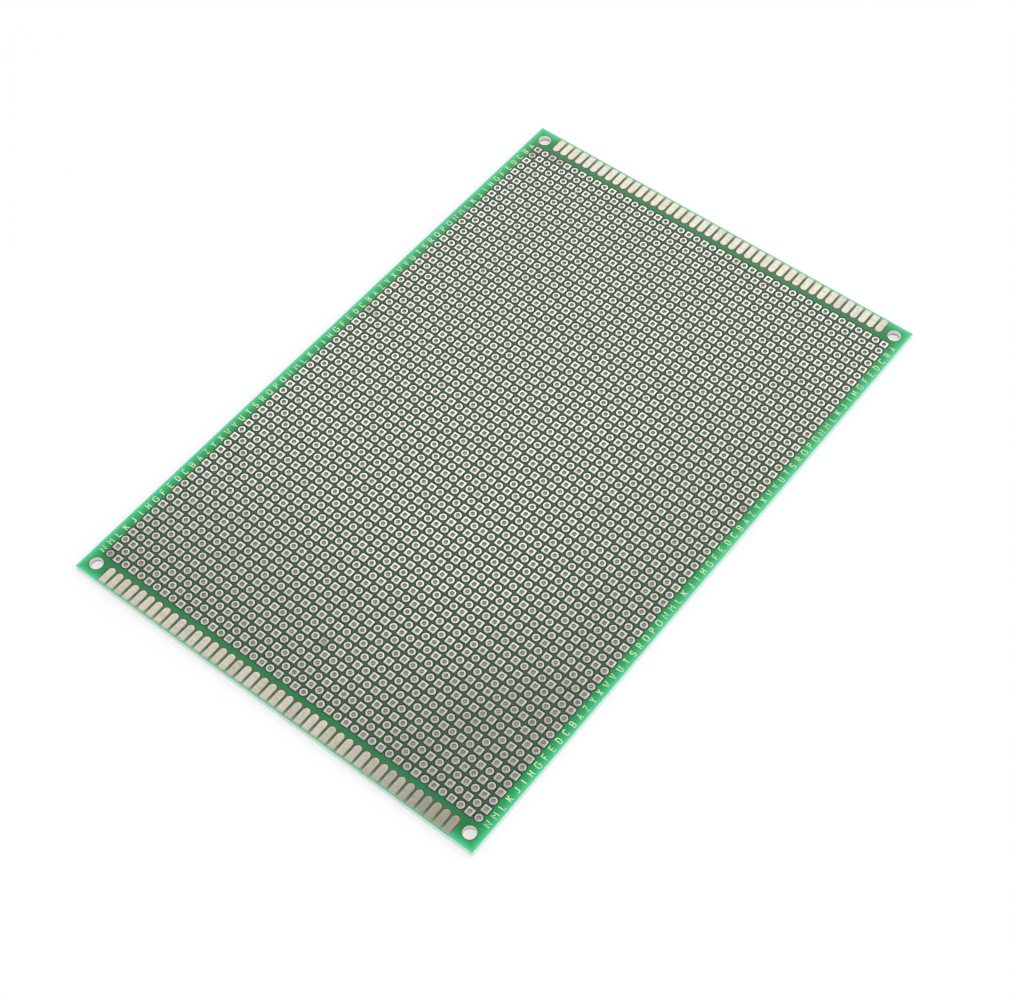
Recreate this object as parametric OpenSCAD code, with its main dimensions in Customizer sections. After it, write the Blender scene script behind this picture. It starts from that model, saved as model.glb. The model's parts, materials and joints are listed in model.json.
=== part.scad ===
// Double-sided prototype board, in millimetres.
// A flat green glass-fibre laminate, drilled on one square lattice,
// with tinned contact fingers along both short ends and a tinned
// mounting hole in each corner.
// The board lies flat. X runs along the short side and Y along the
// long side. The far end, where the lattice row A is, is at +Y.
// Z = 0 is the underside of the lower contact fingers.

/* [Board] */
// Length of the short side
board_w = 120; // [60:0.5:240]
// Length of the long side
board_l = 180; // [80:0.5:300]
// Thickness of the laminate with its green mask
board_t = 1.6; // [0.8:0.1:3.2]

/* [Drilled lattice] */
// Distance from one lead hole to the next, both ways
pitch = 2.54; // [2.2:0.01:5.08]
// Finished bore of a lead hole, inside its plating
lead_hole_d = 1.0; // [0.6:0.05:1.2]
// Least distance from the outer columns to the long edges
side_land = 4.0; // [3.5:0.1:12]
// Least distance from the outer rows to the short edges
end_land = 7.2; // [6.6:0.1:15]

/* [Mounting holes] */
// Finished bore of a mounting hole, inside its plating
mount_hole_d = 3.2; // [2:0.1:3.6]
// Distance from the hole's centre to both edges
mount_inset = 3.5; // [3:0.1:3.8]
// Thickness of the plating on the hole's wall
mount_wall_t = 0.08; // [0.05:0.01:0.12]
// How far the tinned ring on each face laps past that plating
mount_ring_lap = 0.04; // [0.04:0.01:0.3]
// Clearance between that plating and the laminate
mount_seat_gap = 0.01; // [0.01:0.01:0.03]

/* [Contact fingers] */
// Width of one finger
finger_w = 1.85; // [1:0.05:1.95]
// Length of one finger
finger_l = 4.7; // [2.2:0.1:5]
// Distance from the finger's outer end to the board's short edge
finger_setback = 0.3; // [0.1:0.05:0.6]
// Corner radius of the finger's outer end
finger_tip_r = 0.5; // [0.1:0.05:0.5]
// Columns left without a finger at each side
finger_free_columns = 2; // [2:1:6]
// Thickness of the tinned copper on each face
tin_t = 0.05; // [0.03:0.01:0.15]

/* [Hidden] */
$fn = 48;
cut = 1;                                   // how far a drill runs past the faces
columns = floor((board_w - 2*side_land)/pitch + 0.001) + 1;
rows = floor((board_l - 2*end_land)/pitch + 0.001) + 1;
fingers = columns - 2*finger_free_columns + 1;
under_z = tin_t;                           // underside of the laminate
top_z = tin_t + board_t;                   // upper face of the laminate
mount_x = board_w/2 - mount_inset;
mount_y = board_l/2 - mount_inset;
mount_barrel_r = mount_hole_d/2 + mount_wall_t;
mount_ring_r = mount_barrel_r + mount_ring_lap;
finger_outer_y = board_l/2 - finger_setback;
tip_r = min(finger_tip_r, 0.4*finger_w);   // always leaves a flat outer end
bands = 6;

green = [0.16, 0.55, 0.33];
tin = [0.83, 0.82, 0.77];

// Place of a lattice column and of a lattice row, counted from 0.
function column_x(i) = (i - (columns - 1)/2)*pitch;
function row_y(i) = ((rows - 1)/2 - i)*pitch;

// First lattice row of a band. The last value is one past the last row.
function band_row(k) = floor(k*rows/bands + 0.5);

// Seam above a band: halfway between two rows, or the board's edge.
function seam_y(k) =
  k == 0 ? board_l/2 :
  k == bands ? -board_l/2 :
  row_y(band_row(k)) + pitch/2;

// The four mounting places.
module at_mounts() {
  for (sx = [-1, 1], sy = [-1, 1])
    translate([sx*mount_x, sy*mount_y, 0]) children();
}

// The laminate is one sheet. It is drawn as six bands that meet face to
// face halfway between two rows, each with its own share of the lattice.
module laminate_band(k) {
  difference() {
    translate([-board_w/2, seam_y(k + 1), under_z])
      cube([board_w, seam_y(k) - seam_y(k + 1), board_t]);
    for (r = [band_row(k) : band_row(k + 1) - 1], c = [0 : columns - 1])
      translate([column_x(c), row_y(r), under_z - cut])
        cylinder(h = board_t + 2*cut, d = lead_hole_d);
    if (k == 0 || k == bands - 1)
      for (sx = [-1, 1])
        translate([sx*mount_x, (k == 0 ? 1 : -1)*mount_y, under_z - cut])
          cylinder(h = board_t + 2*cut, r = mount_barrel_r + mount_seat_gap);
  }
}

// One finger seen from above, its outer end at the origin and its body
// running towards -Y: a round inner end and two small outer corners.
module finger_outline() {
  translate([0, finger_w/2 - finger_l]) circle(d = finger_w);
  translate([-finger_w/2, finger_w/2 - finger_l])
    square([finger_w, finger_l - finger_w/2 - tip_r]);
  translate([-finger_w/2 + tip_r, -tip_r])
    square([finger_w - 2*tip_r, tip_r]);
  for (s = [-1, 1])
    translate([s*(finger_w/2 - tip_r), -tip_r])
      circle(r = tip_r);
}

// A row of fingers on the far end (end = 1) or the near end (end = -1).
// Each finger stands halfway between two lattice columns.
module finger_row(end, z) {
  color(tin)
  for (f = [0 : fingers - 1])
    translate([(f - (fingers - 1)/2)*pitch, end*finger_outer_y, z])
      rotate([0, 0, end > 0 ? 0 : 180])
        linear_extrude(tin_t) finger_outline();
}

module laminate_band_1() { color(green) laminate_band(0); }
module laminate_band_2() { color(green) laminate_band(1); }
module laminate_band_3() { color(green) laminate_band(2); }
module laminate_band_4() { color(green) laminate_band(3); }
module laminate_band_5() { color(green) laminate_band(4); }
module laminate_band_6() { color(green) laminate_band(5); }

module far_fingers_top() { finger_row(1, top_z); }
module far_fingers_under() { finger_row(1, 0); }
module near_fingers_top() { finger_row(-1, top_z); }
module near_fingers_under() { finger_row(-1, 0); }

// Plated wall of a mounting hole with its ring on both faces, turned as
// one piece.
module corner_eyelets() {
  color(tin)
  at_mounts()
    rotate_extrude()
      polygon([
        [mount_hole_d/2, 0],
        [mount_ring_r, 0],
        [mount_ring_r, under_z],
        [mount_barrel_r, under_z],
        [mount_barrel_r, top_z],
        [mount_ring_r, top_z],
        [mount_ring_r, top_z + tin_t],
        [mount_hole_d/2, top_z + tin_t]
      ]);
}

laminate_band_1();
laminate_band_2();
laminate_band_3();
laminate_band_4();
laminate_band_5();
laminate_band_6();
far_fingers_top();
far_fingers_under();
near_fingers_top();
near_fingers_under();
corner_eyelets();
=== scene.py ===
# %% [markdown]
# A double-sided prototype board lies flat on a white table. The drilled green
# laminate, the four corner eyelets and the plain contact fingers come from
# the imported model. This script adds what the eye looks for: a tinned land
# round every hole on both faces, the plated hole walls, softly rippled
# fingers, the printed row letters, and the finish of each surface.

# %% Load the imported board
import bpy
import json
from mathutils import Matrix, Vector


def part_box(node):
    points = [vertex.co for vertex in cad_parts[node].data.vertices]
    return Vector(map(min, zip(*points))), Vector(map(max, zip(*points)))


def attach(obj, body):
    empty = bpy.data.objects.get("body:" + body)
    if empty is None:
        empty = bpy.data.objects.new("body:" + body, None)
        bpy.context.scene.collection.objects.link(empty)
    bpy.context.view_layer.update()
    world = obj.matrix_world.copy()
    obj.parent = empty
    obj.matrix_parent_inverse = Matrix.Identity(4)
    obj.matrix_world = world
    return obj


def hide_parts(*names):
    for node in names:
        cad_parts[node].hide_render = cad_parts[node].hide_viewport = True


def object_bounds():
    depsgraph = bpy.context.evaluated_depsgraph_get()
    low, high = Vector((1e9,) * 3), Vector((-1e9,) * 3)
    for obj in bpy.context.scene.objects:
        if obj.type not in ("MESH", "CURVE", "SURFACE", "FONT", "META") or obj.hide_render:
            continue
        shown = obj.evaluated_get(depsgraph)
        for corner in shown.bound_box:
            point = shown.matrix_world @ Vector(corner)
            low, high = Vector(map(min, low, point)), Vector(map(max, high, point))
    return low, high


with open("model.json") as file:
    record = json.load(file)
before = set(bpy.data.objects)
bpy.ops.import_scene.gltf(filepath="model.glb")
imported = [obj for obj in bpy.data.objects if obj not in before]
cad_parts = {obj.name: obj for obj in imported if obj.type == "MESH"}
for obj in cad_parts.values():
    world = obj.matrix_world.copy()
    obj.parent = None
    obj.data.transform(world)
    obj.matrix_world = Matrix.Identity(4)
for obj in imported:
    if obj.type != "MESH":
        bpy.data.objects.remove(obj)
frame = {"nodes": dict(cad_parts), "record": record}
cad_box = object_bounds()
print("packed nodes:", sorted(frame["nodes"]))

# %% [markdown]
# Every size below is in millimetres, as a board is drawn, and is turned into
# metres only when a mesh is made. The board's own sizes are read from the
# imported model, so that the added pieces always sit on it.

# %% Read the board's sizes
import json
import math

import bmesh
import bpy
import numpy as np
from mathutils import Matrix, Vector, noise

MM = 0.001
bands = sorted(n for n in frame["nodes"] if n.startswith("laminate_band_"))
low = np.min([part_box(n)[0] for n in bands], axis=0) / MM
high = np.max([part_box(n)[1] for n in bands], axis=0) / MM
board_w, board_l = high[0] - low[0], high[1] - low[1]
under_z, top_z = low[2], high[2]
board_t = top_z - under_z
tin_t = cad_box[1][2] / MM - top_z
print(f"board {board_w:.2f} x {board_l:.2f} mm, faces at {under_z:.2f} and {top_z:.2f}")

# %% Read the lattice and the corner holes
mounts = frame["record"]["mounts"]
lead_mounts = [m for m in mounts if m["name"].startswith("lead_hole")]
lead_x = [m["pos_m"][0] / MM for m in lead_mounts]
lead_y = [m["pos_m"][1] / MM for m in lead_mounts]
hole_r = lead_mounts[0]["dims"]["r_mm"]
pitch = 2.54
columns = round((max(lead_x) - min(lead_x)) / pitch) + 1
rows = round((max(lead_y) - min(lead_y)) / pitch) + 1
corner = next(m for m in mounts if m["kind"] == "bolt_pattern")["dims"]
corner_x, corner_y = corner["spacing_x_mm"] / 2, corner["spacing_y_mm"] / 2
print(f"{columns} columns and {rows} rows of holes, radius {hole_r} mm")

# %% [markdown]
# The camera stands over the near right corner and looks down on the board,
# turned so that the long side runs up to the right. Its place was found by
# matching the lattice of holes. The lens keeps the verticals a little off
# centre, so the picture is shifted by a small share of its width.

# %% Place the camera
picture_w = 1012                      # the picture's width in pixels
focal_px, shift_px = 1852.8, 60.0     # lens and shift, in the same pixels
camera_mm = Vector((170.795, -204.416, 372.545))
look = Vector((-0.320212, 0.425439, -0.846443)).normalized()
up = Vector((-0.514633, 0.672036, 0.532466))
right = look.cross(up).normalized()
up = right.cross(look)

lens = bpy.data.cameras.new("camera")
lens.sensor_width = 36.0
lens.lens = focal_px / picture_w * lens.sensor_width
lens.shift_x, lens.shift_y = -shift_px / picture_w, shift_px / picture_w
lens.clip_start, lens.clip_end = 0.01, 100
camera = bpy.data.objects.new("camera", lens)
camera.matrix_world = Matrix.Translation(camera_mm * MM) @ Matrix(
    (right, up, -look)).transposed().to_4x4()
bpy.context.scene.collection.objects.link(camera)
bpy.context.scene.camera = camera
print(f"lens {lens.lens:.1f} mm, {camera_mm.length:.0f} mm from the board's centre")

# %% [markdown]
# Materials are built from nodes, and a small recipe book keeps that short.
# Each recipe starts with one Principled surface. `node` adds a node and
# fills its sockets with numbers or with other nodes' results, and `calc` is
# one step of arithmetic. Painting by place works well here, because a board
# is a drawing: every tone follows from the distance to an edge or a land.

# %% A recipe for node materials
class Recipe:
    """A node tree that is filled step by step."""
    def __init__(self, owner, first, last):
        owner.use_nodes = True
        self.owner, self.tree = owner, owner.node_tree
        self.tree.nodes.clear()
        self.surface = self.node(first)
        self.tree.links.new(self.surface.outputs[0], self.node(last).inputs[0])

    def fill(self, socket, value):
        if isinstance(value, bpy.types.NodeSocket):
            self.tree.links.new(value, socket)
        else:
            socket.default_value = value

    def node(self, kind, settings=(), **values):
        made = self.tree.nodes.new(kind)
        for name, value in dict(settings).items():
            setattr(made, name, value)
        for name, value in values.items():
            self.fill(made.inputs[name.replace("_", " ")], value)
        return made

    def calc(self, operation, *values):
        made = self.tree.nodes.new("ShaderNodeMath")
        made.operation = operation
        for socket, value in zip(made.inputs, values):
            self.fill(socket, value)
        return made.outputs[0]

    def fade(self, value, start, end):
        """0 at start and 1 at end, with a soft step between them."""
        made = self.node("ShaderNodeMapRange", {"interpolation_type": "SMOOTHSTEP"})
        for slot, number in ((0, value), (1, start), (2, end)):
            self.fill(made.inputs[slot], number)
        return made.outputs[0]

    def blend(self, share, first, second, way="MIX"):
        made = self.node("ShaderNodeMix", {"data_type": "RGBA", "blend_type": way})
        for slot, value in ((0, share), (6, first), (7, second)):
            self.fill(made.inputs[slot], value)
        return made.outputs[2]

    def noise(self, where, size_mm, detail=3.0):
        return self.node("ShaderNodeTexNoise", Vector=where, Scale=1 / size_mm,
                         Detail=detail).outputs["Fac"]

    def place_in_mm(self):
        """The place on the board, as every piece has the board's own origin."""
        return self.node("ShaderNodeVectorMath", {"operation": "SCALE"}, Scale=1 / MM,
                         Vector=self.node("ShaderNodeTexCoord").outputs["Object"]).outputs[0]


def new_material(name):
    return Recipe(bpy.data.materials.new(name), "ShaderNodeBsdfPrincipled",
                  "ShaderNodeOutputMaterial")


def screen(red, green, blue):
    """A colour as a screen shows it, from 0 to 255, as light."""
    def light(v):
        v /= 255
        return v / 12.92 if v <= 0.04045 else ((v + 0.055) / 1.055) ** 2.4
    return (light(red), light(green), light(blue), 1.0)


print("middle grey, screen value 128, is", round(screen(128, 128, 128)[0], 3), "of white light")

# %% [markdown]
# The laminate is glass cloth in epoxy under a glossy green mask. Light gets
# into the cut edges, and a painted glow turns the bare margin from deep green
# to mint towards them. Painted shade keeps the middle dark and olive, where
# the copper lands on both faces hold the light back, and browns the laminate
# between the fingers. Round each land the mask stops short and shows a dark
# ring of bare laminate. One material paints all of this from the place on the
# board, so it runs on unbroken over the bands of the imported model.

# %% Where am I on the board?
land_r = 0.95          # half the width of a land, round or square
finger_w, finger_l, finger_setback = 1.85, 4.7, 0.3
mask = new_material("green_mask_on_laminate")
place_mm = mask.place_in_mm()
x_mm, y_mm, z_mm = mask.node("ShaderNodeSeparateXYZ", Vector=place_mm).outputs
across, along = mask.calc("ABSOLUTE", x_mm), mask.calc("ABSOLUTE", y_mm)
from_edge = mask.calc(
    "MINIMUM",
    mask.calc("SUBTRACT", board_w / 2, across),
    mask.calc("SUBTRACT", board_l / 2, along))
print(f"lands {2 * land_r} mm across, fingers {finger_w} x {finger_l} mm")

# %% How far is the nearest land?
def nearest_line(recipe, value, count):
    """The nearest of some evenly spaced lines, and the distance from it."""
    half = (count - 1) / 2
    line = recipe.calc("ADD", half % 1, recipe.calc("ROUND", recipe.calc(
        "SUBTRACT", recipe.calc("DIVIDE", value, pitch), half % 1)))
    line = recipe.calc("MAXIMUM", -half, recipe.calc("MINIMUM", half, line))
    return line, recipe.calc("ABSOLUTE", recipe.calc(
        "SUBTRACT", value, recipe.calc("MULTIPLY", line, pitch)))


def length(recipe, a, b):
    return recipe.calc("SQRT", recipe.calc(
        "ADD", recipe.calc("MULTIPLY", a, a), recipe.calc("MULTIPLY", b, b)))


column, off_x = nearest_line(mask, x_mm, columns)
row, off_y = nearest_line(mask, y_mm, rows)
count_both = mask.calc("ADD", mask.calc("SUBTRACT", column, row), (columns + rows) / 2 - 1)
is_round = mask.calc("FLOORED_MODULO", count_both, 2.0)
to_square = mask.calc("MAXIMUM", off_x, off_y)
to_land = mask.calc("SUBTRACT", mask.calc(
    "ADD", mask.calc("MULTIPLY", is_round, length(mask, off_x, off_y)),
    mask.calc("MULTIPLY", mask.calc("SUBTRACT", 1.0, is_round), to_square)), land_r)
print("outer lands end", round((columns - 1) / 2 * pitch + land_r, 2), "mm from the middle")

# %% How far is the nearest finger or eyelet?
fingers = columns - 3
finger_in_y = board_l / 2 - finger_setback - finger_l + finger_w / 2   # middle of the round end
_, off_finger = nearest_line(mask, x_mm, fingers)
past_end = mask.calc("MAXIMUM", 0.0, mask.calc("SUBTRACT", finger_in_y, along))
to_finger = mask.calc("SUBTRACT", length(mask, off_finger, past_end), finger_w / 2)
eyelet_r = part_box("corner_eyelets")[1][0] / MM - corner_x
to_eyelet = mask.calc("SUBTRACT", length(
    mask, mask.calc("SUBTRACT", across, corner_x), mask.calc("SUBTRACT", along, corner_y)), eyelet_r)
print(f"eyelet radius {eyelet_r:.2f} mm, {fingers} fingers at each end")

# %% Paint the mask
# Painted glow: light that gets into the cut edges turns the margin mint, fading inwards.
glow = mask.node("ShaderNodeValToRGB", Fac=mask.calc("DIVIDE", from_edge, 6.0))
stops = (
    (0.00, screen(178, 232, 214)), (0.15, screen(112, 202, 164)),
    (0.40, screen(78, 193, 144)), (0.80, screen(53, 187, 123)),
    (1.20, screen(39, 173, 103)), (2.00, screen(16, 153, 81)),
    (3.00, screen(2, 134, 69)), (5.50, screen(0, 121, 63)))
ramp = glow.color_ramp
while len(ramp.elements) < len(stops):
    ramp.elements.new(0.5)
for element, (distance, tone) in zip(ramp.elements, stops):
    element.position, element.color = distance / 6.0, tone
# Painted shade: the lattice of lands stays dark and olive, as the copper holds light back.
shaded = [mask.fade(value, (count - 1) / 2 * pitch + land_r + 0.5, (count - 1) / 2 * pitch + land_r - 0.7)
          for value, count in ((across, columns), (along, rows))]
shade_among_lands = screen(43, 101, 54)
body = mask.blend(mask.calc("MULTIPLY", *shaded), glow.outputs["Color"], shade_among_lands)
# Painted shade: the laminate between the fingers turns darker and browner away from the edge.
shade_between_fingers = mask.blend(
    mask.fade(from_edge, 0.6, 2.5), screen(128, 136, 104), screen(86, 92, 62))
finger_shade = mask.calc("MULTIPLY", mask.fade(to_finger, 0.55, 0.25), mask.fade(from_edge, -0.6, 1.6))
body = mask.blend(mask.calc("MULTIPLY", finger_shade, 0.9), body, shade_between_fingers)
print(len(stops), "tones from the cut edge to the middle")

# %% Draw the dark ring round each land
bare_laminate = screen(36, 33, 14)
ring_w = 0.30          # bare laminate between a land and the mask
rings = [mask.fade(distance, width + 0.12, width - 0.08)
         for distance, width in ((to_land, ring_w), (to_finger, 0.20), (to_eyelet, 0.12))]
rings[1] = mask.calc("MULTIPLY", rings[1], mask.calc("MULTIPLY", mask.fade(from_edge, 0.5, 1.2), 0.5))
bare = mask.calc("MAXIMUM", rings[0], mask.calc("MAXIMUM", rings[1], rings[2]))
body = mask.blend(mask.calc("MULTIPLY", bare, 0.95), body, bare_laminate)
print("bare ring", ring_w, "mm wide")

# %% Add the weave, the clouding and the cut edge
weave = mask.calc("MULTIPLY", *[
    mask.calc("SINE", mask.calc("MULTIPLY", value, 2 * math.pi / 0.9)) for value in (x_mm, y_mm)])
cloud, grain = mask.noise(place_mm, 4.5, 4.0), mask.noise(place_mm, 0.3, 2.0)
lift = mask.calc("ADD", mask.calc("MULTIPLY", cloud, 0.5), mask.calc("MULTIPLY", grain, 0.4))
lift = mask.calc("ADD", mask.calc("ADD", lift, 0.05), mask.calc("MULTIPLY", weave, 0.035))
tint = mask.node("ShaderNodeCombineColor", Red=lift, Green=lift, Blue=lift).outputs[0]
body = mask.blend(0.34, body, tint, "OVERLAY")

facing = mask.node("ShaderNodeSeparateXYZ",
                   Vector=mask.node("ShaderNodeNewGeometry").outputs["True Normal"])
is_side = mask.calc("LESS_THAN", mask.calc("ABSOLUTE", facing.outputs["Z"]), 0.5)
layers = mask.node("ShaderNodeVectorMath", {"operation": "MULTIPLY"}, Vector=place_mm)
layers.inputs[1].default_value = (0.7, 0.7, 9.0)
cut_edge = mask.blend(mask.noise(layers.outputs[0], 1.0), screen(205, 240, 222), screen(246, 255, 248))
body = mask.blend(is_side, body, cut_edge)
print("glass cloth of 0.9 mm mesh under the mask")

# %% Give the mask its gloss
skin = mask.surface
mask.fill(skin.inputs["Base Color"], body)
skin.inputs["IOR"].default_value = 1.5
skin.inputs["Specular IOR Level"].default_value = 0.5
rough = mask.calc("ADD", 0.20, mask.calc("MULTIPLY", grain, 0.12))
rough = mask.calc("ADD", rough, mask.calc("MULTIPLY", mask.calc("MAXIMUM", is_side, bare), 0.3))
mask.fill(skin.inputs["Roughness"], rough)
relief = mask.calc("ADD", mask.calc("MULTIPLY", weave, 0.12), grain)
relief = mask.calc("ADD", relief, mask.calc("MULTIPLY", bare, -1.5))
bump = mask.node("ShaderNodeBump", Height=relief, Strength=0.25, Distance=0.00002)
mask.fill(skin.inputs["Normal"], bump.outputs[0])


def coat(node, recipe):
    """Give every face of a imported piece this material."""
    mesh = frame["nodes"][node].data
    if not mesh.materials:
        mesh.materials.append(recipe.owner)
    for i in range(len(mesh.materials)):
        mesh.materials[i] = recipe.owner


for band in bands:
    coat(band, mask)
print("mask painted on", len(bands), "bands,", len(mask.tree.nodes), "nodes")

# %% [markdown]
# All bare metal on the board is copper under hot-air levelled tin. It dries
# in soft ripples, warm and a little milky. Painted shade makes it greyer and
# brown where it runs into a hole, and darker towards the near end and the
# near right corner, where it mirrors a darker part of the tent. Two numbers
# stored on the meshes steer that: `tone` makes whole lands differ, and
# `shine` runs from 0 at a hole's lip, in full painted shade, to 1 at the rim.
# Fine noise in the height gives the ripples, and a few specks of flux stay as
# small brown dots.

# %% Where the tin is painted darker
def near_shade(tin, near_end, near_right):
    """How much painted shade darkens the tin towards the near end and the near right corner."""
    where = tin.node("ShaderNodeSeparateXYZ", Vector=tin.place_in_mm()).outputs
    at_end = tin.calc("MULTIPLY", tin.fade(where["Y"], -20, -95), near_end)
    at_corner = tin.calc("MULTIPLY", tin.fade(where["X"], 10, 62), tin.fade(where["Y"], 120, -60))
    return tin.calc("ADD", at_end, tin.calc("MULTIPLY", at_corner, near_right))


print("the tin is dullest at the near right corner")

# %% Mix the tin
def mix_tin(name, light, dull, grain_mm, ripple, roughness, mottle,
            near_shading=(0, 0), stretch=(1, 1, 1), hole_edge_shade=0.0):
    tin = new_material(name)
    stretched = tin.node("ShaderNodeVectorMath", {"operation": "MULTIPLY"}, Vector=tin.place_in_mm())
    stretched.inputs[1].default_value = stretch
    at_mm = stretched.outputs[0]
    tone = tin.node("ShaderNodeAttribute", {"attribute_name": "tone"}).outputs["Fac"]
    shine = tin.node("ShaderNodeAttribute", {"attribute_name": "shine"}).outputs["Fac"]
    soft, fine = tin.noise(at_mm, 1.6), tin.noise(at_mm, grain_mm, 4.0)
    specks = tin.noise(at_mm, 0.6, 1.0)
    share = tin.calc("ADD", tone, tin.calc("MULTIPLY", tin.calc("SUBTRACT", soft, 0.5), 0.7))
    share = tin.calc("SUBTRACT", tin.fade(share, 0.0, 0.9), tin.calc(
        "MULTIPLY", tin.fade(fine, 0.45, 0.70), mottle))
    share = tin.calc("MULTIPLY", share, shine)
    metal = tin.blend(tin.calc("MINIMUM", 1.0, tin.calc("MAXIMUM", 0.0, share)), dull, light)
    # Painted shade: the tin mirrors a darker part of the tent towards the near end and right.
    metal = tin.blend(near_shade(tin, *near_shading), metal, (0.6, 0.6, 0.6, 1), "MULTIPLY")
    # Painted shade: the tin turns dark brown where it rolls over into a hole.
    at_lip = tin.calc("MULTIPLY", tin.fade(shine, 0.6, 0.1), hole_edge_shade)
    metal = tin.blend(at_lip, metal, (0.22, 0.18, 0.15, 1))
    stain = tin.fade(specks, 0.74, 0.80)
    metal = tin.blend(tin.calc("MULTIPLY", stain, 0.8), metal, (0.16, 0.12, 0.08, 1))
    body = tin.surface
    tin.fill(body.inputs["Base Color"], metal)
    body.inputs["Metallic"].default_value = 1.0
    tin.fill(body.inputs["Roughness"], tin.calc(
        "ADD", roughness, tin.calc("MULTIPLY", tin.calc("SUBTRACT", fine, 0.5), 0.25)))
    bumped = tin.node("ShaderNodeBump", Height=fine, Strength=ripple, Distance=0.00005)
    tin.fill(body.inputs["Normal"], bumped.outputs[0])
    print(f"{name}: grain {grain_mm} mm, roughness {roughness}")
    return tin


land_tin = mix_tin("tin_on_lands", (0.945, 1.0, 0.92, 1), (0.58, 0.51, 0.45, 1), 0.4, 0.3, 0.42, 0.2,
                   (0.75, 0.75), hole_edge_shade=1.0)
finger_tin = mix_tin("tin_on_fingers", (0.80, 0.77, 0.645, 1), (0.55, 0.48, 0.43, 1), 0.5, 0.5, 0.40, 0.5,
                     (0, 1.2), (0.7, 1.7, 1))
eyelet_tin = mix_tin("tin_on_eyelets", (1.0, 0.99, 0.95, 1), (0.95, 0.92, 0.87, 1), 0.8, 0.3, 0.24, 0.2)

# %% Paint shade on the tin in the holes
def shade_by_depth(tin, shade_of, colour):
    """Mix in painted shade. shade_of turns the depth below the top face into its share."""
    depth = tin.calc("SUBTRACT", float(top_z), tin.node(
        "ShaderNodeSeparateXYZ", Vector=tin.place_in_mm()).outputs["Z"])
    base = tin.surface.inputs["Base Color"]
    clean = base.links[0].from_socket
    tin.fill(base, tin.blend(shade_of(depth), clean, colour))


def lip_shade_lines(depth):
    """Painted shade: a soft dark line below the lip on either face, darker at the lower one."""
    from_lip = hole_tin.calc("MINIMUM", depth, hole_tin.calc("SUBTRACT", float(board_t), depth))
    strength = hole_tin.calc("ADD", 0.5, hole_tin.calc("MULTIPLY", hole_tin.fade(depth, 0.6, 1.2), 0.4))
    return hole_tin.calc("MULTIPLY", hole_tin.fade(from_lip, 0.74, 0.20), strength)


def wall_foot_shade(depth):
    """Painted shade over the wall, darkest towards its foot."""
    foot = eyelet_tin.calc("ADD", 0.28, eyelet_tin.calc("MULTIPLY", eyelet_tin.fade(depth, 0.8, 1.4), 0.6))
    return eyelet_tin.calc("MULTIPLY", foot, eyelet_tin.fade(depth, board_t, board_t - 0.1))


hole_tin = mix_tin("tin_in_holes", (1.0, 0.93, 0.86, 1), (0.80, 0.72, 0.65, 1), 0.5, 0.2, 0.50, 0.2)
shade_by_depth(hole_tin, lip_shade_lines, (0.22, 0.18, 0.15, 1))
shade_by_depth(eyelet_tin, wall_foot_shade, (0.28, 0.25, 0.21, 1))
# Both walls carry painted shade: below the lips of the holes, and low on the eyelets' walls.
print("flux on the walls of the holes and eyelets")

# %% Darken the fingers' outer ends
from_short_edge = finger_tin.calc("SUBTRACT", board_l / 2, finger_tin.calc("ABSOLUTE", finger_tin.node(
    "ShaderNodeSeparateXYZ", Vector=finger_tin.place_in_mm()).outputs["Y"]))
# Towards the board's short edge each finger fades to a dull grey green.
darkened = finger_tin.calc("MULTIPLY", finger_tin.fade(from_short_edge, 1.0, 0.4), 0.9)
finger_base = finger_tin.surface.inputs["Base Color"]
finger_tin.fill(finger_base, finger_tin.blend(
    darkened, finger_base.links[0].from_socket, (0.48, 0.60, 0.46, 1)))
print("the last", 1.0 - finger_setback, "mm of each finger is rubbed")

# %% [markdown]
# A land is a flat ring of copper whose tin has drawn itself into a low
# dome: steep at the rim, highest in the middle of the ring, and rolled over
# into the hole. Half of them are square. Each is built here as a stack of
# rings with the same number of corners, so that one rule skins both shapes.
# All lands of one shape and face are one mesh, since nearly six thousand
# separate objects would be slow to handle.

# %% Skin a stack of rings
def skin_rings(stacks, closed=True, turned=False):
    """Quads over stacks of rings, an array of stack, ring, corner and XYZ."""
    count, rings, corners, _ = stacks.shape
    index = np.arange(count * rings * corners).reshape(count, rings, corners)
    here, ahead = index, np.roll(index, -1, axis=2)
    if not closed:
        here, ahead = here[:, :, :-1], index[:, :, 1:]
    quads = np.stack([here[:, :-1], ahead[:, :-1], ahead[:, 1:], here[:, 1:]], axis=-1)
    quads = quads.reshape(-1, 4)
    return stacks.reshape(-1, 3), quads[:, ::-1] if turned else quads


def make_piece(name, points_mm, faces, recipe, tone=0.5, shine=1.0, smooth=True):
    """One mesh on the board. tone and shine are numbers for every point."""
    mesh = bpy.data.meshes.new(name)
    mesh.from_pydata((np.asarray(points_mm) * MM).tolist(), [], np.asarray(faces).tolist())
    mesh.polygons.foreach_set("use_smooth", np.broadcast_to(smooth, len(faces)).copy())
    for label, numbers in (("tone", tone), ("shine", shine)):
        numbers = np.broadcast_to(np.asarray(numbers, np.float32), len(mesh.vertices))
        mesh.attributes.new(label, "FLOAT", "POINT").data.foreach_set("value", numbers.copy())
    mesh.materials.append(recipe.owner)
    piece = bpy.data.objects.new(name, mesh)
    bpy.context.scene.collection.objects.link(piece)
    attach(piece, "root")
    print(f"{name}: {len(faces)} faces")
    return piece


# %% Find every hole
column_x = (np.arange(columns) - (columns - 1) / 2) * pitch
row_y = ((rows - 1) / 2 - np.arange(rows)) * pitch
hole_row, hole_column = np.mgrid[0:rows, 0:columns]
hole_xy = np.stack([column_x[hole_column], row_y[hole_row]], axis=-1)
square_here = (hole_row + hole_column) % 2 == 0
print(f"{square_here.sum()} square and {(~square_here).sum()} round lands on each face")


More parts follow.
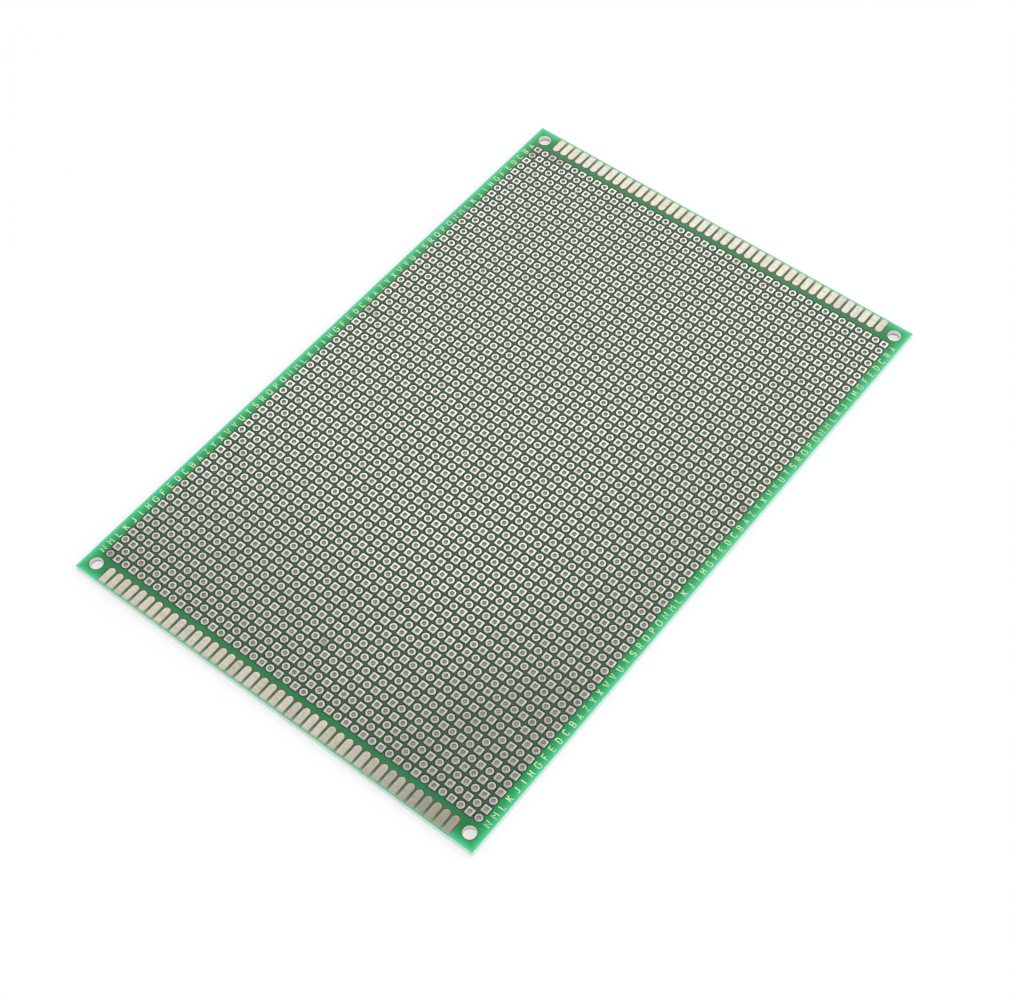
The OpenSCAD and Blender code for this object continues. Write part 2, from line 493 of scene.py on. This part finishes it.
# %% Outline a round and a square land
def round_outline(corners):
    turn = np.arange(corners) * 2 * math.pi / corners
    return (land_r + 0.02) * np.stack([np.cos(turn), np.sin(turn)], axis=-1)


def square_outline(corners, cut=0.07):
    """One side's midpoint, then a corner of two or three points, four times."""
    side = [(land_r, 0), (land_r, land_r - cut), (land_r - cut, land_r)]
    if corners == 16:
        side.insert(2, (land_r - 0.3 * cut, land_r - 0.3 * cut))
    quarter = np.array(side)
    turns = []
    for _ in range(4):
        turns.append(quarter)
        quarter = np.stack([-quarter[:, 1], quarter[:, 0]], axis=-1)
    return np.concatenate(turns)


print("a square land's outline has", len(square_outline(16)), "points")

# %% Lay the lands
dull_lands = {(0, 0), (0, 2), (0, 3), (1, 0), (25, 44), (28, 0), (60, 22), (65, 0)}


def lay_lands(name, outline, here, face, chance):
    corners, count = len(outline), int(here.sum())
    centres = hole_xy[here]
    turn = np.arange(corners) * 2 * math.pi / corners
    lip = hole_r * np.stack([np.cos(turn), np.sin(turn)], axis=-1)
    shape = np.stack([lip + share * (outline - lip) for share in (1.0, 0.96, 0.30, 0.0)]
                     + [lip * (1 - 0.012 / hole_r)])
    height = np.array([0.0, 0.66, 1.0, 0.72, -0.9]) * 0.9 * tin_t
    shine = np.array([1.0, 1.0, 1.0, 0.0, 0.0])
    flat = shape[None] + centres[:, None, None]
    swell = chance.uniform(0.80, 1.0, (count, 1, 1))
    tip = chance.normal(0, 0.0035, (count, 1, 1, 2))
    up_mm = np.broadcast_to(height[None, :, None] * swell, flat.shape[:3]).copy()
    lean = (shape[None] * tip).sum(-1)
    up_mm[:, 1:4] = np.clip(up_mm[:, 1:4] + lean[:, 1:4], 0.1 * tin_t, 0.96 * tin_t)
    level = top_z + up_mm if face > 0 else under_z - up_mm
    stacks = np.concatenate([flat, level[..., None]], axis=-1)
    points, faces = skin_rings(stacks, turned=face < 0)
    tone = np.clip(chance.normal(0.85, 0.09, count), 0, 1)
    if face > 0:
        tone[[tuple(place) in dull_lands for place in np.argwhere(here)]] = 0.38
    rolled = np.tile(np.repeat([False, True, True, True], corners), count)   # the rim stays crisp
    return make_piece(name, points, faces, land_tin,
                      np.repeat(tone, flat.shape[1] * corners),
                      np.tile(np.repeat(shine, corners), count), rolled)


chance = np.random.default_rng(45 * 66)
for face, side, corners in ((1, "top", 16), (-1, "under", 12)):
    lay_lands("square_lands_" + side, square_outline(corners), square_here, face, chance)
    lay_lands("round_lands_" + side, round_outline(corners), ~square_here, face, chance)

# %% Let a little solder run
def lay_splashes(name, splashes, recipe, seed, corners=14):
    """Low drops: middle, length, width and direction of each one."""
    chance = np.random.default_rng(seed)
    turn = np.arange(corners) * 2 * math.pi / corners
    stacks = []
    for x, y, long, wide, degrees in splashes:
        ragged = 1 + chance.uniform(-0.12, 0.12, corners)
        oval = np.stack([long / 2 * np.cos(turn) * ragged, wide / 2 * np.sin(turn) * ragged], -1)
        a = math.radians(degrees)
        oval = oval @ np.array([[math.cos(a), math.sin(a)], [-math.sin(a), math.cos(a)]])
        stacks.append([np.c_[share * oval + (x, y), np.full(corners, top_z + rise * tin_t)]
                       for share, rise in ((1.0, 0.1), (0.85, 0.7), (0.5, 0.94), (0.05, 0.97))])
    points, faces = skin_rings(np.array(stacks))
    return make_piece(name, points, faces, recipe, 0.8)


lay_splashes("solder_runs", (
    (49.5, -59.6, 0.85, 0.26, 8), (-47.0, -67.3, 0.55, 0.20, -25), (14.7, -67.9, 0.22, 0.5, 0),
    (-38.3, 76.2, 0.20, 0.42, 12), (0.2, 81.3, 0.18, 0.4, 0)), land_tin, 7)

# %% [markdown]
# The plating goes on down through every hole and joins the two lands, which
# is what makes the board double-sided. It is a thin tube just inside the
# drilled wall, seen only from within, so one skin facing the axis is enough.

# %% Plate the hole walls
def plate_walls(name, centres, radius, corners=16):
    turn = np.arange(corners) * 2 * math.pi / corners
    rim = radius * np.stack([np.cos(turn), np.sin(turn)], axis=-1)
    stack = np.array([np.c_[rim, np.full(corners, z)] for z in (top_z - 0.03, under_z + 0.03)])
    stacks = np.broadcast_to(stack, (len(centres),) + stack.shape).copy()
    stacks[..., :2] += centres[:, None, None]
    points, faces = skin_rings(stacks)
    chance = np.random.default_rng(12)
    tone = chance.normal(0.5, 0.18, (rows, columns))
    for place in dark_holes:
        tone[place] = -1.0
    return make_piece(name, points, faces, hole_tin, np.repeat(tone.ravel(), 2 * corners))


dark_holes = ((4, 24), (4, 38), (13, 24), (19, 8), (22, 43), (24, 29), (28, 34), (64, 15))
plate_walls("plated_hole_walls", hole_xy.reshape(-1, 2), hole_r - 0.012)

# %% [markdown]
# A contact finger is a flat bar of tin on copper with a round inner end and
# a nearly square outer end. The tin has a rolled rim and a rippled top. Its
# outline shrinks ring by ring onto a spine down the middle, and noise lifts
# the inner rings, so the ripple is real relief.

# %% Draw a finger's outline
def finger_outline(steps=14, tip_r=0.5):
    """Anticlockwise from the outer right corner, with the outer end at 0."""
    r = finger_w / 2
    inner_y = -finger_l + r
    points = [(r - tip_r + tip_r * math.cos(a), -tip_r + tip_r * math.sin(a))
              for a in np.linspace(0, math.pi / 2, 4)]
    points += [(-r + tip_r + tip_r * math.cos(a), -tip_r + tip_r * math.sin(a))
               for a in np.linspace(math.pi / 2, math.pi, 4)]
    points += [(-r, y) for y in np.linspace(-tip_r, inner_y, steps)[1:-1]]
    points += [(r * math.cos(a), inner_y + r * math.sin(a))
               for a in np.linspace(math.pi, 2 * math.pi, 9)]
    points += [(r, y) for y in np.linspace(inner_y, -tip_r, steps)[1:-1]]
    return np.array(points)


print("finger outline of", len(finger_outline()), "points")

# %% Lay the fingers
def lay_fingers(name, node, end, face, seed):
    outline = finger_outline()
    spine = np.stack([np.zeros(len(outline)),
                      np.clip(outline[:, 1], -finger_l + finger_w / 2, -finger_w / 2)], -1)
    shares = np.array([1.0, 0.93, 0.78, 0.5, 0.22, 0.0])
    heights = np.array([0.0, 0.6, 0.92, 0.84, 0.78, 0.78]) * 0.9 * tin_t
    count = columns - 3
    xs = (np.arange(count) - (count - 1) / 2) * pitch
    flat = spine + shares[:, None, None] * (outline - spine)
    stacks, chance = [], np.random.default_rng(seed)
    for x in xs:
        ring = flat.copy()
        ring[..., 0] = x + end * ring[..., 0]
        ring[..., 1] = end * (board_l / 2 - finger_setback + ring[..., 1])
        swell = chance.uniform(0.8, 1.0)
        lift = np.array([[noise.noise(Vector((px * 1.6, py * 1.6, seed))) for px, py in r]
                         for r in ring]) * 0.011
        up_mm = heights[:, None] * swell + lift * (shares[:, None] < 0.9)
        up_mm = np.clip(up_mm, 0.0, 0.97 * tin_t)
        up_mm[0] = 0.0
        level = top_z + up_mm if face > 0 else under_z - up_mm
        stacks.append(np.concatenate([ring, level[..., None]], axis=-1))
    points, faces = skin_rings(np.array(stacks), turned=face < 0)
    tone = np.repeat(chance.normal(0.70, 0.08, count), flat.shape[0] * flat.shape[1])
    piece = make_piece(name, points, faces, finger_tin, tone)
    tidy = bmesh.new()
    tidy.from_mesh(piece.data)
    bmesh.ops.remove_doubles(tidy, verts=tidy.verts, dist=0.001 * MM)
    tidy.to_mesh(piece.data)
    tidy.free()
    coat(node, finger_tin)
    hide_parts(node)
    return piece


lay_fingers("far_finger_tin_top", "far_fingers_top", 1, 1, 1)
lay_fingers("far_finger_tin_under", "far_fingers_under", 1, -1, 2)
lay_fingers("near_finger_tin_top", "near_fingers_top", -1, 1, 3)
lay_fingers("near_finger_tin_under", "near_fingers_under", -1, -1, 4)

# %% [markdown]
# The corner eyelets have the right shape already, a turned tube with a thin
# ring on each face, so they stay and only get their tin.

# %% Tin the eyelets
coat("corner_eyelets", eyelet_tin)
print("eyelets tinned, bore", corner["hole_r_mm"] * 2, "mm")

# %% [markdown]
# The rows are lettered down both long edges, three times through the
# alphabet as far as the rows go. The ink is a pale, thin screen print. Each
# letter is a pen stroke: a polyline with a round section, pressed flat, so
# the strokes get round ends and cross without a seam.

# %% Draw the alphabet
STROKES = {
    "A": "0,0 2,6 4,0 / 0.7,2 3.3,2", "B": "0,3 3,3 4,4 4,5 3,6 0,6 0,0 3,0 4,1 4,2 3,3",
    "C": "4,5 3,6 1,6 0,5 0,1 1,0 3,0 4,1", "D": "0,0 0,6 2.5,6 4,4.5 4,1.5 2.5,0 0,0",
    "E": "4,0 0,0 0,6 4,6 / 0,3 3,3", "F": "0,0 0,6 4,6 / 0,3 3,3",
    "G": "4,5 3,6 1,6 0,5 0,1 1,0 3,0 4,1 4,3 2.5,3", "H": "0,0 0,6 / 4,0 4,6 / 0,3 4,3",
    "I": "2,0 2,6", "J": "0.5,1 1.5,0 2.5,0 3.5,1 3.5,6", "K": "0,0 0,6 / 4,6 0,2.5 / 1.4,3.7 4,0",
    "L": "0,6 0,0 4,0", "M": "0,0 0,6 2,3 4,6 4,0", "N": "0,0 0,6 4,0 4,6",
    "O": "1,0 0,1 0,5 1,6 3,6 4,5 4,1 3,0 1,0", "P": "0,0 0,6 3,6 4,5 4,4 3,3 0,3",
    "Q": "1,0 0,1 0,5 1,6 3,6 4,5 4,1 3,0 1,0 / 2.5,1.5 4.2,-0.2",
    "R": "0,0 0,6 3,6 4,5 4,4 3,3 0,3 / 2,3 4,0", "S": "4,5 3,6 1,6 0,5 0,4 1,3 3,3 4,2 4,1 3,0 1,0 0,1",
    "T": "2,0 2,6 / 0,6 4,6", "U": "0,6 0,1 1,0 3,0 4,1 4,6", "V": "0,6 2,0 4,6",
    "W": "0,6 1,0 2,3.5 3,0 4,6", "X": "0,0 4,6 / 0,6 4,0", "Y": "0,6 2,3 4,6 / 2,3 2,0",
    "Z": "0,6 4,6 0,0 4,0"}
row_letters = (sorted(STROKES) * rows)[:rows]
print("first row", row_letters[0], "and last row", row_letters[-1])

# %% Mix the ink
ink = new_material("pale_index_ink")
pale = ink.blend(ink.fade(ink.noise(ink.place_in_mm(), 0.33), 0.35, 0.7),
                 screen(236, 242, 210), screen(192, 222, 172))
outward = ink.calc("ABSOLUTE", ink.node("ShaderNodeSeparateXYZ", Vector=ink.place_in_mm()).outputs["X"])
ink.fill(ink.surface.inputs["Base Color"], ink.blend(
    ink.calc("MULTIPLY", ink.fade(outward, 58.2, 59.5), 0.5), pale, screen(120, 205, 150)))
ink.surface.inputs["Roughness"].default_value = 0.6
print("ink mixed")

# %% Print the letters
letter_w, letter_h, pen_w, ink_t = 0.78, 1.6, 0.28, 0.012      # the wide ones are a third wider


def print_letters(name, face):
    pen = bpy.data.curves.new(name, "CURVE")
    pen.dimensions = "3D"
    pen.bevel_depth, pen.bevel_resolution = pen_w / 2 * MM, 1
    pen.use_fill_caps = True
    for mid_x in (-58.2, 58.4):
        for letter, y in zip(row_letters, row_y):
            width = letter_w * (1.35 if letter in "GMNOQW" else 1)
            for stroke in STROKES[letter].split(" / "):
                path = [tuple(map(float, p.split(","))) for p in stroke.split()]
                line = pen.splines.new("POLY")
                line.points.add(len(path) - 1)
                for point, (u, v) in zip(line.points, path):
                    x = face * (mid_x + letter_h / 2 - v / 6 * letter_h)
                    point.co = (x * MM, (y + (u / 4 - 0.5) * width) * MM, 0, 1)
    drawn = bpy.data.objects.new(name + "_pen", pen)
    bpy.context.scene.collection.objects.link(drawn)
    bpy.context.view_layer.update()
    mesh = bpy.data.meshes.new_from_object(drawn.evaluated_get(bpy.context.evaluated_depsgraph_get()))
    bpy.data.objects.remove(drawn)
    points = np.empty(len(mesh.vertices) * 3, np.float32)
    mesh.vertices.foreach_get("co", points)
    points = points.reshape(-1, 3) / MM
    ground = top_z if face > 0 else under_z
    points[:, 2] = ground + points[:, 2] / (pen_w / 2) * ink_t
    for v, z in zip(mesh.vertices, points[:, 2]):
        v.co.z = z * MM
    mesh.materials.clear()
    mesh.materials.append(ink.owner)
    piece = bpy.data.objects.new(name, mesh)
    bpy.context.scene.collection.objects.link(piece)
    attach(piece, "root")
    print(f"{name}: {len(mesh.polygons)} faces")


print_letters("index_letters_top", 1)
print_letters("index_letters_under", -1)

# %% [markdown]
# The table is a plain white sheet. A board photographed for a shop stands
# on pure white, so the sheet adds a little light of its own, but only in
# what the camera sees or a shiny surface mirrors. The board is not lit by
# it, and the soft shadow stays.

# %% Lay the table
table_mesh = bpy.data.meshes.new("table")
reach = 4.0
table_mesh.from_pydata([(-reach, -reach, 0), (reach, -reach, 0), (reach, reach, 0), (-reach, reach, 0)],
                       [], [(0, 1, 2, 3)])
table = bpy.data.objects.new("table", table_mesh)
table.location.z = -0.00002
bpy.context.scene.collection.objects.link(table)
cloth = new_material("white_table")
cloth.surface.inputs["Base Color"].default_value = (0.445, 0.445, 0.445, 1)
cloth.surface.inputs["Roughness"].default_value = 0.9
cloth.surface.inputs["Specular IOR Level"].default_value = 0.1
cloth.surface.inputs["Emission Color"].default_value = (1, 1, 1, 1)
path = cloth.node("ShaderNodeLightPath").outputs
seen = cloth.calc("MAXIMUM", path["Is Camera Ray"], cloth.calc(
    "MAXIMUM", path["Is Glossy Ray"], path["Is Transmission Ray"]))
cloth.fill(cloth.surface.inputs["Emission Strength"], cloth.calc("MULTIPLY", seen, 0.52))
table_mesh.materials.append(cloth.owner)
print("table", 2 * reach, "m wide")

# %% [markdown]
# The light is a white tent with one soft box at the right, which gives the
# rims of the tin a lit and a shaded side. Flat tin is a dull mirror, so what
# it shows is a patch of the tent: the bright back wall at the far end, and
# towards the near end the darker roof and the hole that the camera looks
# through. Each patch is a direction and a soft edge in the world's strength.

# %% Light the tent
world = bpy.data.worlds.new("tent")
bpy.context.scene.world = world
tent = Recipe(world, "ShaderNodeBackground", "ShaderNodeOutputWorld")
tent.surface.inputs["Color"].default_value = (1, 1, 1, 1)
way = tent.node("ShaderNodeTexCoord").outputs["Generated"]


def patch(toward, outer_degrees, inner_degrees, amount):
    """How much a round patch of the tent gives, from its outer to its inner edge."""
    toward_it = tent.node("ShaderNodeVectorMath", {"operation": "DOT_PRODUCT"}, Vector=way)
    toward_it.inputs[1].default_value = Vector(toward).normalized()
    edges = [math.cos(math.radians(d)) for d in (outer_degrees, inner_degrees)]
    return tent.calc("MULTIPLY", tent.fade(toward_it.outputs["Value"], *edges), amount)


back_wall = patch((-0.20, 0.65, 0.73), 32, 11, 0.15)
window = patch((-0.38, 0.43, 0.82), 25, 4, 0.30)
roof = patch((-0.30, 0.05, 0.95), 32, 8, 0.75)
opening = patch((-0.10, 0.10, 0.99), 21, 13, 0.5)
level = tent.calc("ADD", tent.calc("SUBTRACT", 1.09, roof), tent.calc("ADD", back_wall, window))
tent.fill(tent.surface.inputs["Strength"], tent.calc("MULTIPLY", level, tent.calc("SUBTRACT", 1.0, opening)))
print("tent with a back wall, a roof and an opening")


# %% Hang the soft boxes
def soft_box(name, place_m, width_m, height_m, radiance):
    lamp = bpy.data.lights.new(name, "AREA")
    lamp.shape, lamp.size, lamp.size_y = "RECTANGLE", width_m, height_m
    lamp.energy = radiance * math.pi * width_m * height_m
    box = bpy.data.objects.new(name, lamp)
    box.location = place_m
    box.rotation_mode = "QUATERNION"
    box.rotation_quaternion = (-Vector(place_m)).to_track_quat("-Z", "Y")
    bpy.context.scene.collection.objects.link(box)
    print(f"{name}: {lamp.energy:.2f} W")


soft_box("right_soft_box", (1.0, 0.45, 0.85), 0.6, 0.6, 2.6)

# %% Keep plain colour
bpy.context.scene.view_settings.view_transform = "Standard"
